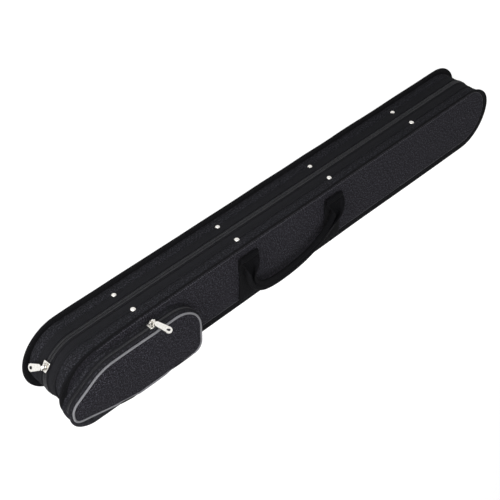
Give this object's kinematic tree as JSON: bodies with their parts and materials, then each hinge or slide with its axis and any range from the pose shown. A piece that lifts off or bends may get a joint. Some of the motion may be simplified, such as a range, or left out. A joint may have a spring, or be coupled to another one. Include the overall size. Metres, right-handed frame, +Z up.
{
  "type": "cello bow case",
  "caption": "Long narrow soft-sided case for cello bows: two plush-lined zipped shells on a fabric hinge, webbing handle, zipped pocket and riveted bow holders.",
  "frame": {"origin": "middle of the underside of the back panel, which the case rests on", "axes": "+X along the case towards the pocket end, +Y from the zip side to the fabric hinge side, +Z up through the shells to the lid and handle"},
  "size_m": [0.8, 0.104, 0.0994],
  "materials": {
    "oxford_fabric": "woven, matt",
    "binding_tape": "ribbed binding tape",
    "stiff_foam": "closed-cell foam board",
    "plush_lining": "short pile plush",
    "zip_tape": "woven zip tape",
    "zip_coil": "nylon coil",
    "piping_cord": "grey piping",
    "webbing": "polypropylene webbing",
    "nickel_plate": "nickel plated",
    "moulded_plastic": "moulded, satin"
  },
  "bodies": {
    "base": {"base_cover_panel": "oxford_fabric", "base_foam_board": "stiff_foam", "base_wall_foam": "stiff_foam", "base_gusset_fabric": "oxford_fabric", "base_binding": "binding_tape", "base_lining": "plush_lining", "base_zip_tape": "zip_tape", "base_zip_coil": "zip_coil", "base_zip_end_stops": "nickel_plate", "base_hinge_tape": "zip_tape", "base_rivets": "nickel_plate", "base_clip_blocks": "moulded_plastic", "base_stick_rests": "moulded_plastic", "base_button_pins": "nickel_plate", "base_head_block": "plush_lining"},
    "lid": {"lid_cover_panel": "oxford_fabric", "lid_foam_board": "stiff_foam", "lid_wall_foam": "stiff_foam", "lid_gusset_fabric": "oxford_fabric", "lid_binding": "binding_tape", "lid_lining": "plush_lining", "lid_zip_tape": "zip_tape", "lid_zip_coil": "zip_coil", "lid_zip_end_stops": "nickel_plate", "lid_hinge_tape": "zip_tape", "lid_rivets": "nickel_plate", "lid_clip_blocks": "moulded_plastic", "lid_stick_rests": "moulded_plastic", "lid_button_pins": "nickel_plate", "lid_head_block": "plush_lining", "pocket_wall": "oxford_fabric", "pocket_face": "oxford_fabric", "pocket_piping": "piping_cord", "pocket_zip_coil": "zip_coil", "handle_strap_near": "webbing", "handle_strap_far": "webbing"},
    "main_slider": {"main_slider": "nickel_plate"},
    "main_pull": {"main_pull": "nickel_plate"},
    "pocket_slider": {"pocket_slider": "nickel_plate"},
    "pocket_pull": {"pocket_pull": "nickel_plate"},
    "handle_loop": {"handle_loop": "webbing"},
    "base_turn_button_far": {"base_turn_button_far": "moulded_plastic"},
    "base_turn_button_near": {"base_turn_button_near": "moulded_plastic"},
    "lid_turn_button_far": {"lid_turn_button_far": "moulded_plastic"},
    "lid_turn_button_near": {"lid_turn_button_near": "moulded_plastic"}
  },
  "joints": [
    {"name": "lid_hinge", "type": "hinge", "parent": "base", "child": "lid", "pos_m": [0, 0.0435, 0.033], "axis": [-1, 0, 0], "range_deg": [0, 145]},
    {"name": "main_zip_run", "type": "hinge", "parent": "base", "child": "main_slider", "pos_m": [0.348, 0, 0.033], "axis": [0, 0, -1], "range_deg": [-80, 60]},
    {"name": "main_pull_swing", "type": "hinge", "parent": "main_slider", "child": "main_pull", "pos_m": [0.39225, -0.02555, 0.033], "axis": [-0.4193, -0.7263, -0.5446], "range_deg": [0, 150]},
    {"name": "pocket_zip_run", "type": "slide", "parent": "lid", "child": "pocket_slider", "axis": [1, 0, 0], "range_m": [-0.02, 0.06]},
    {"name": "pocket_pull_swing", "type": "hinge", "parent": "pocket_slider", "child": "pocket_pull", "pos_m": [0.265, -0.0364, 0.076], "axis": [0.9272, 0, 0.3746], "range_deg": [0, 120]},
    {"name": "handle_swing", "type": "hinge", "parent": "lid", "child": "handle_loop", "pos_m": [0, -0.027, 0.069], "axis": [1, 0, 0], "range_deg": [0, 150]},
    {"name": "base_far_button_turn", "type": "hinge", "parent": "base", "child": "base_turn_button_far", "pos_m": [-0.2385, -0.0293, 0.0191], "axis": [0, 0, 1], "range_deg": [-90, 90]},
    {"name": "base_near_button_turn", "type": "hinge", "parent": "base", "child": "base_turn_button_near", "pos_m": [0.2715, -0.0293, 0.0191], "axis": [0, 0, 1], "range_deg": [-90, 90]},
    {"name": "lid_far_button_turn", "type": "hinge", "parent": "lid", "child": "lid_turn_button_far", "pos_m": [-0.2385, -0.0293, 0.0469], "axis": [0, 0, 1], "range_deg": [-90, 90]},
    {"name": "lid_near_button_turn", "type": "hinge", "parent": "lid", "child": "lid_turn_button_near", "pos_m": [0.2715, -0.0293, 0.0469], "axis": [0, 0, 1], "range_deg": [-90, 90]}
  ]
}
